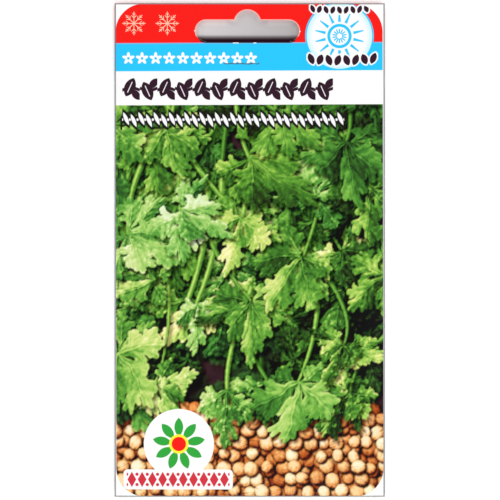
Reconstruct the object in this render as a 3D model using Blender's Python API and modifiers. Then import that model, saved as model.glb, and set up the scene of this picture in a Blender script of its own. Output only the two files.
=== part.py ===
"""Seed packet of printed paper, lying on its back, with loose coriander seeds sealed inside.

The packet is one sheet of paper. It is cut as a flat blank, folded round to a sleeve, and glued along a
side tab, along a bottom flap, and all over a header that has a hanging slot punched through it.
Metres, +Z up, +Y towards the header, with the origin on the table under the middle of the packet.
"""

import math
import random

import bmesh
import bpy
from mathutils import Vector

# The packet and its paper
PACKET_WIDTH = 0.083
PACKET_HEIGHT = 0.152
PAPER = 0.00015
LAYER_PITCH = 0.0003
GLUE_FILM = 0.00006
HEADER_HEIGHT = 0.0195
FLAP_LENGTH = 0.009
FLAP_TAPER = 0.2

# The hanging slot: a long slot with round ends and a hump in its upper side
SLOT_WIDTH = 0.032
SLOT_HEIGHT = 0.0066
SLOT_SHIFT = -0.0008
SLOT_FROM_TOP = 0.0117
HUMP_RADIUS = 0.004
HUMP_RISE = 0.0031
HUMP_FILLET = 0.0009

# The belly that the seeds give the pocket, and how far the packet's edges stand off the table
BELLY_RISE = 0.0042
BELLY_CENTRE_Y = -0.040
BELLY_TOP_Y = -0.026
SIDE_POWER = 5
BOTTOM_POWER = 3
EDGE_HEIGHT = 0.0014
FLAT_SHARE = 0.8

# The seeds, in a rounded bed one seed deep
SEED_DIAMETER = 0.0035
SEED_PITCH = 0.00315
SEED_NUDGE = 0.00005
SEED_CLEARANCE = 0.0001
BED_HALF_WIDTH = 0.0215
BED_HALF_HEIGHT = 0.0145
BED_POWER = 2.6
RANDOM_SEED = 11

# Fold lines and edges worked out from those sizes
FOLD_REACH = LAYER_PITCH / 2
FOLD_LENGTH = math.pi * LAYER_PITCH
FRONT_EDGE = PACKET_WIDTH / 2 - FOLD_REACH - PAPER / 2
BOTTOM_Y = -PACKET_HEIGHT / 2 + FOLD_REACH + PAPER / 2
TOP_Y = PACKET_HEIGHT / 2
HEADER_Y = TOP_Y - HEADER_HEIGHT
SLOT_Y = TOP_Y - SLOT_FROM_TOP + SLOT_HEIGHT / 2
BACK_BOTTOM_Y = BOTTOM_Y + 3 * PAPER

# Distances across the blank, from the middle of the front
BACK_START = FRONT_EDGE + FOLD_LENGTH
TAB_START = FRONT_EDGE + FOLD_LENGTH
FLAP_START = BOTTOM_Y - FOLD_LENGTH

# Every layer of paper and glue is drawn on the same grid lines, so that no layer cuts another
COLUMNS = 8
TAB_COLUMN = 4
SEAM_COLUMNS = (5, 6)
FLAP_COLUMN = 6
BACK_COLUMN = 7
FLAP_ROW = FLAP_LENGTH / 3
FLAP_ROWS = [BOTTOM_Y + FLAP_ROW * i for i in range(4)]
TAB_TOP_Y = 0.050
POCKET_ROWS = [FLAP_ROWS[-1] + (TAB_TOP_Y - FLAP_ROWS[-1]) * i / 20 for i in range(21)]
DROP_Y = (TAB_TOP_Y + HEADER_Y) / 2


def column(i):
    """Grid line i across the packet, from -COLUMNS to COLUMNS, closer together towards the sides."""
    return FRONT_EDGE * math.sin(math.pi / 2 * i / COLUMNS)


def smooth(low, high, value):
    """0 at low, 1 at high, level at both."""
    t = min(1.0, max(0.0, (value - low) / (high - low)))
    return t * t * (3 - 2 * t)


# The form of the filled packet


def fullness(x, y):
    """How far the pocket is open here: 1 over the seeds, 0 at its folds and in the header."""
    across = 1 - min(1.0, abs(x) / (PACKET_WIDTH / 2)) ** SIDE_POWER
    if y < BELLY_CENTRE_Y:
        t = (BELLY_CENTRE_Y - y) / (BELLY_CENTRE_Y + PACKET_HEIGHT / 2)
        along = 1 - min(1.0, t) ** BOTTOM_POWER
    else:
        t = min(1.0, max(0.0, (y - BELLY_TOP_Y) / (HEADER_Y - BELLY_TOP_Y)))
        along = (1 + math.cos(math.pi * t)) / 2
    return across * along


def back_height(x, y):
    """Middle of the back panel's paper: flat on the table under the seeds, lifted towards every edge."""
    return PAPER / 2 + EDGE_HEIGHT * max(0.0, 1 - fullness(x, y) / FLAT_SHARE)


def front_height(x, y):
    """Middle of the front panel's paper: two layers above the back, and one in the glued header."""
    layers = 2 - smooth(TAB_TOP_Y, HEADER_Y, y)
    return back_height(x, y) + LAYER_PITCH * layers + BELLY_RISE * fullness(x, y)


def tab_height(x, y):
    return back_height(x, y) + LAYER_PITCH


def flap_height(x, y):
    return back_height(x, y) - LAYER_PITCH


def seam_glue_height(x, y):
    return back_height(x, y) + LAYER_PITCH / 2


def flap_glue_height(x, y):
    return back_height(x, y) - LAYER_PITCH / 2


# Objects, materials and modifiers


def new_collection(name, hidden=False):
    collection = bpy.data.collections.new(name)
    collection.hide_render = hidden
    bpy.context.scene.collection.children.link(collection)
    return collection


def new_material(name, colour, roughness):
    material = bpy.data.materials.new(name)
    material.use_nodes = True
    shader = material.node_tree.nodes["Principled BSDF"]
    shader.inputs["Base Color"].default_value = (*colour, 1.0)
    shader.inputs["Roughness"].default_value = roughness
    shader.inputs["Metallic"].default_value = 0.0
    return material


def new_object(name, data, collection, material=None):
    obj = bpy.data.objects.new(name, data)
    collection.objects.link(obj)
    if material:
        data.materials.append(material)
    return obj


def finished_mesh(bm, name):
    mesh = bpy.data.meshes.new(name)
    bm.to_mesh(mesh)
    bm.free()
    mesh.shade_smooth()
    mesh.set_sharp_from_angle(angle=math.radians(40))
    return mesh


def thicken(obj, thickness):
    shell = obj.modifiers.new("Thickness", "SOLIDIFY")
    shell.thickness = thickness
    shell.offset = 0.0
    shell.use_even_offset = True


def cut_slot(obj, cutter):
    cut = obj.modifiers.new("Hanging slot", "BOOLEAN")
    cut.operation = "DIFFERENCE"
    cut.solver = "EXACT"
    cut.object = cutter


def folded_grid(across, along, place, keep=lambda a, b: True):
    """An open sheet with its grid lines at the given stations.

    place says where the point of two stations comes to lie, and keep says where there is paper.
    """
    bm = bmesh.new()
    columns = len(across) - 1
    rows = len(along) - 1
    bmesh.ops.create_grid(bm, x_segments=columns, y_segments=rows, size=0.5)
    stations = {}
    for vert in bm.verts:
        i = round((vert.co.x + 0.5) * columns)
        j = round((vert.co.y + 0.5) * rows)
        stations[vert] = (across[i], along[j])
    cut_away = []
    for face in bm.faces:
        a = sum(stations[vert][0] for vert in face.verts) / 4
        b = sum(stations[vert][1] for vert in face.verts) / 4
        if not keep(a, b):
            cut_away.append(face)
    for vert, (a, b) in stations.items():
        vert.co = place(a, b)
    bmesh.ops.delete(bm, geom=cut_away, context="FACES")
    return bm


# The printed sheet
# Across the blank, the side fold and the glue tab lie to the right of the front, and the other side fold
# and the back lie to its left. The bottom flap lies below the front.


def on_blank(a, b):
    """Whether the blank has paper here, at a across it and b along it."""
    if b < BOTTOM_Y:
        return abs(a) < column(FLAP_COLUMN)
    if a > FRONT_EDGE:
        return BACK_BOTTOM_Y < b < TAB_TOP_Y
    if a < -FRONT_EDGE:
        return b > BACK_BOTTOM_Y
    return True


def side_fold(side, share, y, under):
    """A half turn from the front's edge down to the layer that lies under it."""
    over = front_height(FRONT_EDGE, y)
    turn = math.pi * share
    x = side * (FRONT_EDGE + FOLD_REACH * math.sin(turn))
    return Vector((x, y, (over + under) / 2 + (over - under) / 2 * math.cos(turn)))


def place_sleeve(a, y):
    """Where a point of the front, the back, the tab or a side fold comes to lie."""
    if a > TAB_START:
        x = FRONT_EDGE - (a - TAB_START)
        return Vector((x, y, tab_height(x, y)))
    if a > FRONT_EDGE:
        return side_fold(1, (a - FRONT_EDGE) / FOLD_LENGTH, y, tab_height(FRONT_EDGE, y))
    if a < -BACK_START:
        x = -FRONT_EDGE + (-a - BACK_START)
        return Vector((x, y, back_height(x, y)))
    if a < -FRONT_EDGE:
        return side_fold(-1, (-a - FRONT_EDGE) / FOLD_LENGTH, y, back_height(FRONT_EDGE, y))
    return Vector((a, y, front_height(a, y)))


def place_flap(a, b):
    """Where a point below the front comes to lie: in the bottom fold, or on the flap under the back."""
    if b > FLAP_START:
        over = front_height(a, BOTTOM_Y)
        under = flap_height(a, BOTTOM_Y)
        turn = math.pi * (BOTTOM_Y - b) / FOLD_LENGTH
        z = (over + under) / 2 + (over - under) / 2 * math.cos(turn)
        return Vector((a, BOTTOM_Y - FOLD_REACH * math.sin(turn), z))
    reach = FLAP_START - b
    x = a
    if abs(a) > column(FLAP_COLUMN - 1) + PAPER:
        x -= math.copysign(FLAP_TAPER * reach, a)
    y = BOTTOM_Y + reach
    return Vector((x, y, flap_height(x, y)))


def place_on_packet(a, b):
    if b < BOTTOM_Y:
        return place_flap(a, b)
    return place_sleeve(a, b)


def make_sheet(collection, cutter):
    front = [column(i) for i in range(-COLUMNS, COLUMNS + 1)]
    turn = [FOLD_LENGTH * i / 4 for i in range(1, 5)]
    back = [BACK_START + FRONT_EDGE + column(i) for i in range(-COLUMNS + 1, BACK_COLUMN + 1)]
    tab = [TAB_START + FRONT_EDGE - column(i) for i in range(COLUMNS - 1, TAB_COLUMN - 1, -1)]
    across = [-a for a in reversed(back)]
    across += [-FRONT_EDGE - a for a in reversed(turn)]
    across += front
    across += [FRONT_EDGE + a for a in turn]
    across += tab
    along = [FLAP_START - FLAP_ROW * i for i in (3, 2, 1, 0)]
    along += [BOTTOM_Y - a for a in reversed(turn[:-1])]
    along += [BOTTOM_Y, BACK_BOTTOM_Y, *FLAP_ROWS[1:-1], *POCKET_ROWS, DROP_Y, HEADER_Y, TOP_Y]
    bm = folded_grid(across, along, place_on_packet, on_blank)
    paper = new_material("printed_paper", (0.10, 0.20, 0.04), 0.42)
    sheet = new_object("printed_sheet", finished_mesh(bm, "printed_sheet"), collection, paper)
    thicken(sheet, PAPER)
    cut_slot(sheet, cutter)


# The three films of glue that hold the folded sheet shut


def make_film(name, across, along, height, collection, material):
    def place(x, y):
        return Vector((x, y, height(x, y)))

    mesh = finished_mesh(folded_grid(across, along, place), name)
    film = new_object(name, mesh, collection, material)
    thicken(film, GLUE_FILM)
    return film


def make_glue(collection, cutter):
    glue = new_material("dried_glue", (0.80, 0.74, 0.58), 0.35)
    seam = [column(i) for i in SEAM_COLUMNS]
    make_film("side_seam_glue", seam, POCKET_ROWS, seam_glue_height, collection, glue)
    flap = [column(i) for i in range(-FLAP_COLUMN + 1, FLAP_COLUMN)]
    make_film("bottom_flap_glue", flap, FLAP_ROWS[1:3], flap_glue_height, collection, glue)
    header = [column(-BACK_COLUMN), 0.0, column(BACK_COLUMN)]
    header_rows = [HEADER_Y + 0.001, TOP_Y - 0.0015]
    film = make_film("header_glue", header, header_rows, seam_glue_height, collection, glue)
    cut_slot(film, cutter)


# The cutter for the hanging slot


def arc(centre, radius, start, end, steps):
    """Points on an arc, with its angles in degrees."""
    angles = [math.radians(start + (end - start) * i / steps) for i in range(steps + 1)]
    return [(centre[0] + radius * math.cos(t), centre[1] + radius * math.sin(t)) for t in angles]


def slot_outline():
    """A slot with round ends, and a domed hump whose feet are filleted into the slot's upper side."""
    end = SLOT_HEIGHT / 2
    end_x = SLOT_WIDTH / 2 - end
    hump_y = end + HUMP_RISE - HUMP_RADIUS
    fillet_y = end + HUMP_FILLET
    foot_x = math.sqrt((HUMP_RADIUS + HUMP_FILLET) ** 2 - (fillet_y - hump_y) ** 2)
    lean = math.degrees(math.atan2(fillet_y - hump_y, foot_x))
    points = arc((end_x, 0), end, -90, 90, 8)
    points += arc((foot_x, fillet_y), HUMP_FILLET, 270, 180 + lean, 3)
    points += arc((0, hump_y), HUMP_RADIUS, lean, 180 - lean, 12)[1:-1]
    points += arc((-foot_x, fillet_y), HUMP_FILLET, -lean, -90, 3)
    points += arc((-end_x, 0), end, 90, 270, 8)
    return points


def make_slot_cutter(collection):
    outline = slot_outline()
    curve = bpy.data.curves.new("slot_outline", "CURVE")
    curve.dimensions = "2D"
    curve.fill_mode = "BOTH"
    curve.extrude = 0.004
    spline = curve.splines.new("POLY")
    spline.points.add(len(outline) - 1)
    for point, (x, y) in zip(spline.points, outline):
        point.co = (x, y, 0, 1)
    spline.use_cyclic_u = True
    guide = new_object("slot_outline", curve, collection)
    guide.location = (SLOT_SHIFT, SLOT_Y, EDGE_HEIGHT)
    bpy.context.view_layer.update()
    graph = bpy.context.evaluated_depsgraph_get()
    mesh = bpy.data.meshes.new_from_object(guide.evaluated_get(graph))
    bm = bmesh.new()
    bm.from_mesh(mesh)
    bmesh.ops.remove_doubles(bm, verts=bm.verts, dist=1e-6)
    bmesh.ops.recalc_face_normals(bm, faces=bm.faces)
    bm.to_mesh(mesh)
    bm.free()
    cutter = new_object("slot_cutter", mesh, collection)
    cutter.matrix_world = guide.matrix_world
    cutter.hide_render = True
    cutter.display_type = "WIRE"
    bpy.data.objects.remove(guide)
    return cutter


# The seeds: one layer, settled in the lower half of the pocket, each touching its neighbours


def seed_places():
    """Centres and turns of the seeds, close packed inside the bed, each nudged a little."""
    draw = random.Random(RANDOM_SEED)
    row_pitch = SEED_PITCH * math.sqrt(3) / 2
    rows = int(BED_HALF_HEIGHT / row_pitch) + 1
    columns = int(BED_HALF_WIDTH / SEED_PITCH) + 1
    places = []
    for j in range(-rows, rows + 1):
        for i in range(-columns, columns + 1):
            x = (i + (j % 2) / 2) * SEED_PITCH
            y = j * row_pitch
            reach = (abs(x) / BED_HALF_WIDTH) ** BED_POWER + (abs(y) / BED_HALF_HEIGHT) ** BED_POWER
            if reach <= 1:
                x += draw.uniform(-SEED_NUDGE, SEED_NUDGE)
                y += BELLY_CENTRE_Y + draw.uniform(-SEED_NUDGE, SEED_NUDGE)
                places.append((x, y, draw.uniform(0, math.pi)))
    return places


def make_seeds(collection, workshop):
    hull = new_material("seed_hull", (0.50, 0.28, 0.12), 0.6)
    loose = bpy.data.collections.new("loose_seeds")
    workshop.children.link(loose)
    radius = SEED_DIAMETER / 2
    height = PAPER + SEED_CLEARANCE + radius
    seeds = []
    for x, y, turn in seed_places():
        bm = bmesh.new()
        bmesh.ops.create_uvsphere(bm, u_segments=6, v_segments=4, radius=radius)
        seed = new_object("loose_seed", finished_mesh(bm, "loose_seed"), loose)
        seed.location = (x, y, height)
        seed.rotation_euler.z = turn
        seeds.append(seed)
    bed = seeds[0]
    loose.objects.unlink(bed)
    collection.objects.link(bed)
    bed.name = "coriander_seeds"
    bed.data.name = "coriander_seeds"
    bed.data.materials.append(hull)
    join = bed.modifiers.new("Touching seeds", "BOOLEAN")
    join.operation = "UNION"
    join.operand_type = "COLLECTION"
    join.solver = "MANIFOLD"
    join.collection = loose
    bpy.context.view_layer.update()
    graph = bpy.context.evaluated_depsgraph_get()
    joined = bpy.data.meshes.new_from_object(bed.evaluated_get(graph))
    bed.modifiers.clear()
    bed.data = joined
    for seed in seeds[1:]:
        bpy.data.objects.remove(seed)
    bpy.data.collections.remove(loose)


for leftover in list(bpy.data.objects):
    bpy.data.objects.remove(leftover)
packet = new_collection("seed_packet")
workshop = new_collection("cutters", hidden=True)
slot_cutter = make_slot_cutter(workshop)
make_sheet(packet, slot_cutter)
make_glue(packet, slot_cutter)
make_seeds(packet, workshop)
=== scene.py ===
"""Looks of a printed paper seed packet, lying on its back on a pale table and seen from straight above."""

import math
import random

import bmesh
import bpy
import numpy as np
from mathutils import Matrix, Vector


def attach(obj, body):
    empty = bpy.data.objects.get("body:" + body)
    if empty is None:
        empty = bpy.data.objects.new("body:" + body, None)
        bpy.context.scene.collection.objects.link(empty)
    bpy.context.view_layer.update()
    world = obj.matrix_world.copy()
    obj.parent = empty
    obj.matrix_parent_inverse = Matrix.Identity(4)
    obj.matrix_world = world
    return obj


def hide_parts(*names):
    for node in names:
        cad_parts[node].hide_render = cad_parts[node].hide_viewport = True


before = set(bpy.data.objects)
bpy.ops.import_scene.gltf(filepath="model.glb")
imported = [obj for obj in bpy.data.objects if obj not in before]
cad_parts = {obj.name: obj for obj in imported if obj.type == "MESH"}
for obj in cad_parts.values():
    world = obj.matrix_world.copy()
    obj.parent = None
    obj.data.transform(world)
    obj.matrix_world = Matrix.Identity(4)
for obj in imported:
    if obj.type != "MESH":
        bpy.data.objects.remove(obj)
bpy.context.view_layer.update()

# The view, the table and the light
# The camera looks straight down at the packet, which fills the frame's height but for a few pixels. The
# light is soft and even, with a little more of it from the lower right. The table is plain white, with a
# faint painted glow that lifts its shadows. Under the header it carries painted shade, grey and with a
# painted shadow along one line, which is what shows through the slot. A painted contact shadow rings
# the packet's outline.

MM = 0.001
PACKET_WIDTH = 83.0
PACKET_HEIGHT = 152.0
FRAME_PIXELS = 500
PACKET_PIXELS = 492.6
LENS = 250.0
SENSOR = 36.0
EDGE_HEIGHT = 1.4
TABLE_COLOUR = (0.97, 0.97, 0.97)
# The painted contact shadow round the packet: its colour, its width, and how far it is shifted to the left
CONTACT_SHADOW_COLOUR = (0.14, 0.14, 0.14)
CONTACT_SHADOW_WIDTH = 0.45
SHADOW_SHIFT = 0.1
TABLE_GLOW = 0.12
TABLE_HALF_SIZE = 3.0
# Painted shade on the table under the header: a grey, a darker grey to the right, a painted highlight by the
# slot's rim, a painted shadow by its lower edge, and how far they reach
UNDER_HEADER_SHADE = (0.57, 0.55, 0.56)
UNDER_HEADER_DEEP_SHADE = (0.36, 0.345, 0.345)
UNDER_HEADER_HIGHLIGHT = (0.87, 0.81, 0.79)
SLOT_EDGE_SHADOW = (0.022, 0.003, 0.010)
HIDDEN_HALF_SIZE = (30.0, 10.0)
HIDDEN_BELOW_SLOT = 1.6
DUSK_REACH = 18.0
GLOW_SHARE = 0.75
GLOW_LOSS = 0.45
HUMP_GLOW_RISE = 1.43
SLOT_WIDTH = 32.0
SLOT_HEIGHT = 6.6
SLOT_SHIFT = -0.8
SLOT_FROM_TOP = 11.7
HUMP_RADIUS = 4.0
HUMP_RISE = 3.1
LAMP_DISTANCE = 1.3
LAMP_SIZE = 0.9
LAMP_ELEVATION = 48
LAMPS = ((-65, 8.2), (25, 4.6), (115, 4.6), (205, 4.6))
ROOM_LIGHT = 0.26

HALF_WIDTH = PACKET_WIDTH / 2
TOP_Y = PACKET_HEIGHT / 2
SLOT_Y = TOP_Y - SLOT_FROM_TOP + SLOT_HEIGHT / 2
HUMP_Y = SLOT_Y + SLOT_HEIGHT / 2 + HUMP_RISE - HUMP_RADIUS

# Painted shade and painted highlights on the table in the slot: how far from its middle each one starts, and
# over what length it comes on
TOP_GLOW = (1.2, 2.1)
BESIDE_HUMP = (5.0, 2.0)
END_GLOW = (14.0, 2.0)
HUMP_GLOW = (2.8, 1.25)
DARK_EDGE = (1.1, 1.8)

shown_height = PACKET_HEIGHT * FRAME_PIXELS / PACKET_PIXELS * MM
camera_data = bpy.data.cameras.new("camera")
camera_data.lens = LENS
camera_data.sensor_width = SENSOR
camera_data.clip_end = 20.0
camera = bpy.data.objects.new("camera", camera_data)
camera.location.z = shown_height * LENS / SENSOR + EDGE_HEIGHT * MM
bpy.context.scene.collection.objects.link(camera)
bpy.context.scene.camera = camera
bpy.context.scene.view_settings.view_transform = "Standard"

for azimuth, energy in LAMPS:
    lamp_data = bpy.data.lights.new("softbox", "AREA")
    lamp_data.shape = "SQUARE"
    lamp_data.size = LAMP_SIZE
    lamp_data.energy = energy
    lamp = bpy.data.objects.new("softbox", lamp_data)
    around = math.radians(azimuth)
    up = math.radians(LAMP_ELEVATION)
    place = Vector((math.cos(up) * math.cos(around), math.cos(up) * math.sin(around), math.sin(up)))
    lamp.location = place * LAMP_DISTANCE
    lamp.rotation_euler = place.to_track_quat("Z", "Y").to_euler()
    bpy.context.scene.collection.objects.link(lamp)

world = bpy.data.worlds.new("room")
world.use_nodes = True
world.node_tree.nodes["Background"].inputs["Color"].default_value = (1, 1, 1, 1)
world.node_tree.nodes["Background"].inputs["Strength"].default_value = ROOM_LIGHT
bpy.context.scene.world = world


class Number:
    """A number socket of a material, so that maths on the surface reads as plain expressions."""

    def __init__(self, tree, socket):
        self.tree = tree
        self.socket = socket

    def maths(self, operation, *others, clamp=False):
        node = self.tree.nodes.new("ShaderNodeMath")
        node.operation = operation
        node.use_clamp = clamp
        for socket, value in zip(node.inputs, (self, *others)):
            if isinstance(value, Number):
                self.tree.links.new(value.socket, socket)
            else:
                socket.default_value = value
        return Number(self.tree, node.outputs[0])

    def __add__(self, other):
        return self.maths("ADD", other)

    __radd__ = __add__

    def __mul__(self, other):
        return self.maths("MULTIPLY", other)

    __rmul__ = __mul__

    def __sub__(self, other):
        return self.maths("SUBTRACT", other)

    def __rsub__(self, other):
        return self.maths("MULTIPLY", -1) + other

    def __abs__(self):
        return self.maths("ABSOLUTE")

    def least(self, other):
        return self.maths("MINIMUM", other)

    def most(self, other):
        return self.maths("MAXIMUM", other)

    def clamped(self):
        return self.maths("ADD", 0.0, clamp=True)

    def ramp(self, start, reach):
        """Rises from 0 at start to 1 where reach ends."""
        return ((self - start) * (1 / reach)).clamped()


def diagonal(across, along):
    """The straight distance to a place that lies this far across and along."""
    return (across * across + along * along).maths("SQRT")


class Finish:
    """A material, its nodes, and the place on the surface in millimetres."""

    def __init__(self, name, roughness=0.5, specular=0.5):
        self.material = bpy.data.materials.new(name)
        self.material.use_nodes = True
        self.tree = self.material.node_tree
        self.shader = self.tree.nodes["Principled BSDF"]
        self.shader.inputs["Roughness"].default_value = roughness
        self.shader.inputs["Specular IOR Level"].default_value = specular
        coordinates = self.node("ShaderNodeTexCoord")
        scaled = self.node("ShaderNodeVectorMath", {"operation": "SCALE"},
                           {0: coordinates.outputs["Object"], "Scale": 1000.0})
        self.place = scaled.outputs[0]
        parts = self.node("ShaderNodeSeparateXYZ", {}, {0: self.place})
        self.x, self.y, self.z = (Number(self.tree, socket) for socket in parts.outputs)

    def node(self, kind, settings=None, sockets=None):
        made = self.tree.nodes.new(kind)
        for key, value in (settings or {}).items():
            setattr(made, key, value)
        for key, value in (sockets or {}).items():
            if isinstance(value, Number):
                self.tree.links.new(value.socket, made.inputs[key])
            elif isinstance(value, bpy.types.NodeSocket):
                self.tree.links.new(value, made.inputs[key])
            else:
                made.inputs[key].default_value = value
        return made

    def noise(self, size, detail=2.0):
        """Noise from 0 to 1, with spots about size millimetres across."""
        sockets = {"Vector": self.place, "Scale": 1 / size, "Detail": detail}
        made = self.node("ShaderNodeTexNoise", {}, sockets)
        return Number(self.tree, made.outputs[0])

    def mix(self, under, over, mask):
        """Colour over laid on colour under where mask is 1."""
        sockets = {0: mask}
        for key, value in ((6, under), (7, over)):
            sockets[key] = value if isinstance(value, bpy.types.NodeSocket) else (*value, 1.0)
        return self.node("ShaderNodeMix", {"data_type": "RGBA"}, sockets).outputs[2]

    def colour(self, value):
        self.tree.links.new(value, self.shader.inputs["Base Color"])

    def relief(self, height, depth):
        """Bumps of height 0 to 1, depth millimetres deep."""
        bump = self.node("ShaderNodeBump", {}, {"Height": height, "Distance": depth * MM, "Strength": 1.0})
        self.tree.links.new(bump.outputs["Normal"], self.shader.inputs["Normal"])


table_finish = Finish("pale_table", roughness=0.8, specular=0.04)
# Painted shade on the table under the header, seen through the slot: grey that darkens towards the right, a
# painted highlight near the slot's upper rim, hump and ends, and a painted shadow along its lower edge
from_middle = abs(table_finish.x - SLOT_SHIFT)
above_slot = table_finish.y - SLOT_Y
above_hump = table_finish.y - HUMP_Y
dusk = table_finish.x.ramp(-DUSK_REACH, 2 * DUSK_REACH)
painted_shade = table_finish.mix(UNDER_HEADER_SHADE, UNDER_HEADER_DEEP_SHADE, dusk)
near_top = above_slot.ramp(*TOP_GLOW) * from_middle.ramp(*BESIDE_HUMP)
near_hump = diagonal(from_middle, above_hump).ramp(*HUMP_GLOW) * above_hump.ramp(0.0, HUMP_GLOW_RISE)
near_rim = near_top.most(from_middle.ramp(*END_GLOW)).most(near_hump)
painted_shade = table_finish.mix(painted_shade, UNDER_HEADER_HIGHLIGHT, near_rim * (GLOW_SHARE - dusk * GLOW_LOSS))
near_edge = (above_slot * -1).ramp(*DARK_EDGE)
painted_shade = table_finish.mix(painted_shade, SLOT_EDGE_SHADOW, near_edge * (2 - near_edge))
under_x = HIDDEN_HALF_SIZE[0] - abs(table_finish.x)
under_y = HIDDEN_HALF_SIZE[1] - abs(above_slot + HIDDEN_BELOW_SLOT)
ground = table_finish.mix(TABLE_COLOUR, painted_shade, under_x.least(under_y).clamped())
# A painted contact shadow in a thin ring round the packet's outline
outside_x = abs(table_finish.x + SHADOW_SHIFT) - HALF_WIDTH
outside_y = abs(table_finish.y) - TOP_Y
contact_shadow = (1 - abs(outside_x.most(outside_y)) * (1 / CONTACT_SHADOW_WIDTH)).clamped()
table_colour = table_finish.mix(ground, CONTACT_SHADOW_COLOUR, contact_shadow)
table_finish.colour(table_colour)
# A painted glow: the table gives off a little light in its own painted colour, which lifts its faint shadows
# towards white
table_finish.tree.links.new(table_colour, table_finish.shader.inputs["Emission Color"])
table_finish.shader.inputs["Emission Strength"].default_value = TABLE_GLOW
mesh = bpy.data.meshes.new("table")
bm = bmesh.new()
bmesh.ops.create_grid(bm, x_segments=1, y_segments=1, size=TABLE_HALF_SIZE)
bm.to_mesh(mesh)
bm.free()
table = bpy.data.objects.new("table", mesh)
mesh.materials.append(table_finish.material)
bpy.context.scene.collection.objects.link(table)

# The seeds
# Dry coriander fruits, nearly round, with fine ribs from end to end and a short beak. They lie loose, one
# seed deep, in the lower half of the pocket.

PAPER = 0.15
SEED_RADIUS = 1.75
SEED_PITCH = 3.15
SEED_NUDGE = 0.05
SEED_HEIGHT = PAPER + 0.1 + SEED_RADIUS
BED_HALF_WIDTH = 21.5
BED_HALF_HEIGHT = 14.5
BED_POWER = 2.6
BELLY_CENTRE_Y = -40.0
SEED_SIDES = 20
SEED_RINGS = 7
SEED_SHARES = (0.86, 0.9)
SEED_LEANS = (0.9, 1.5)
SEED_LENGTH = 1.02
RIBS = 10
RIB_DEPTH = 0.03
BEAK_FROM = 0.9
BEAK_LENGTH = 0.16
BED_SEED = 11
SHAPE_SEED = 12
HULL_DARK = (0.30, 0.14, 0.05)
HULL_PALE = (0.62, 0.40, 0.20)
HULL_SPECKS = (0.20, 0.09, 0.03)


def seed_places():
    """Centres of the seeds, close packed inside a rounded bed, each nudged a little."""
    draw = random.Random(BED_SEED)
    row_pitch = SEED_PITCH * math.sqrt(3) / 2
    rows = int(BED_HALF_HEIGHT / row_pitch) + 1
    columns = int(BED_HALF_WIDTH / SEED_PITCH) + 1
    places = []
    for j in range(-rows, rows + 1):
        for i in range(-columns, columns + 1):
            x = (i + (j % 2) / 2) * SEED_PITCH
            y = j * row_pitch
            reach = (abs(x) / BED_HALF_WIDTH) ** BED_POWER + (abs(y) / BED_HALF_HEIGHT) ** BED_POWER
            if reach <= 1:
                x += draw.uniform(-SEED_NUDGE, SEED_NUDGE)
                y += BELLY_CENTRE_Y + draw.uniform(-SEED_NUDGE, SEED_NUDGE)
                places.append((x, y, draw.uniform(0, math.pi)))
    return places


def add_seed(bm, x, y, turn, draw):
    """One ball drawn out into ribs and a beak, and laid over to one side."""
    one = bmesh.new()
    made = bmesh.ops.create_uvsphere(one, u_segments=SEED_SIDES, v_segments=SEED_RINGS, radius=1.0)["verts"]
    lean = draw.uniform(*SEED_LEANS)
    size = SEED_RADIUS * draw.uniform(*SEED_SHARES)
    for vert in made:
        across = math.hypot(vert.co.x, vert.co.y)
        around = math.atan2(vert.co.y, vert.co.x)
        rib = 1 + RIB_DEPTH * across * math.cos(RIBS * around)
        beak = BEAK_LENGTH * max(0.0, vert.co.z - BEAK_FROM) / (1 - BEAK_FROM)
        vert.co = Vector((vert.co.x * rib, vert.co.y * rib, vert.co.z * SEED_LENGTH + beak)) * size
    tilt = Vector((math.sin(lean) * math.cos(turn), math.sin(lean) * math.sin(turn), math.cos(lean)))
    matrix = tilt.to_track_quat("Z", "Y").to_matrix()
    bmesh.ops.rotate(one, verts=made, cent=(0, 0, 0), matrix=matrix)
    bmesh.ops.translate(one, verts=made, vec=(x, y, SEED_HEIGHT))
    mesh = bpy.data.meshes.new("seed")
    one.to_mesh(mesh)
    one.free()
    bm.from_mesh(mesh)
    bpy.data.meshes.remove(mesh)


def finished(bm, name, finishes):
    """Turns a mesh drawn in millimetres into an object in metres."""
    bmesh.ops.scale(bm, verts=bm.verts, vec=(MM, MM, MM))
    mesh = bpy.data.meshes.new(name)
    bm.to_mesh(mesh)
    bm.free()
    mesh.shade_smooth()
    mesh.set_sharp_from_angle(angle=math.radians(50))
    for finish in finishes:
        mesh.materials.append(finish.material)
    piece = bpy.data.objects.new(name, mesh)
    bpy.context.scene.collection.objects.link(piece)
    return piece


hull = Finish("seed_hull", roughness=0.6, specular=0.3)
hull_tone = (hull.noise(3.4, 1.0) * 1.6 - 0.3).clamped()
hull_colour = hull.mix(HULL_DARK, HULL_PALE, hull_tone)
hull_specks = ((hull.noise(0.35) - 0.56) * 8).clamped()
hull.colour(hull.mix(hull_colour, HULL_SPECKS, hull_specks * 0.5))
hull.relief(hull.noise(0.25), 0.03)
bm = bmesh.new()
seed_draw = random.Random(SHAPE_SEED)
for x, y, turn in seed_places():
    add_seed(bm, x, y, turn, seed_draw)
seeds = finished(bm, "loose_seeds", [hull])
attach(seeds, "root")
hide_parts("coriander_seeds")

# The printed sheet
# One sheet of coated paper, folded to a sleeve: the front, a fold at either side, the back, a tab inside
# along the right, and a bottom flap turned onto the back. The front is printed all over but for its
# corners, and its paper lies in very slight waves.

LAYER_PITCH = 0.3
HEADER_HEIGHT = 19.5
FLAP_LENGTH = 9.0
FLAP_TAPER = 0.2
TAB_WIDTH = 12.1
FLAP_INSET = 3.4
BACK_INSET = 1.0
BELLY_RISE = 4.2
BELLY_TOP_Y = -26.0
SIDE_POWER = 5
BOTTOM_POWER = 3
FLAT_SHARE = 0.8
HUMP_FILLET = 0.9
WAVE_HEIGHT = 0.12

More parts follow.
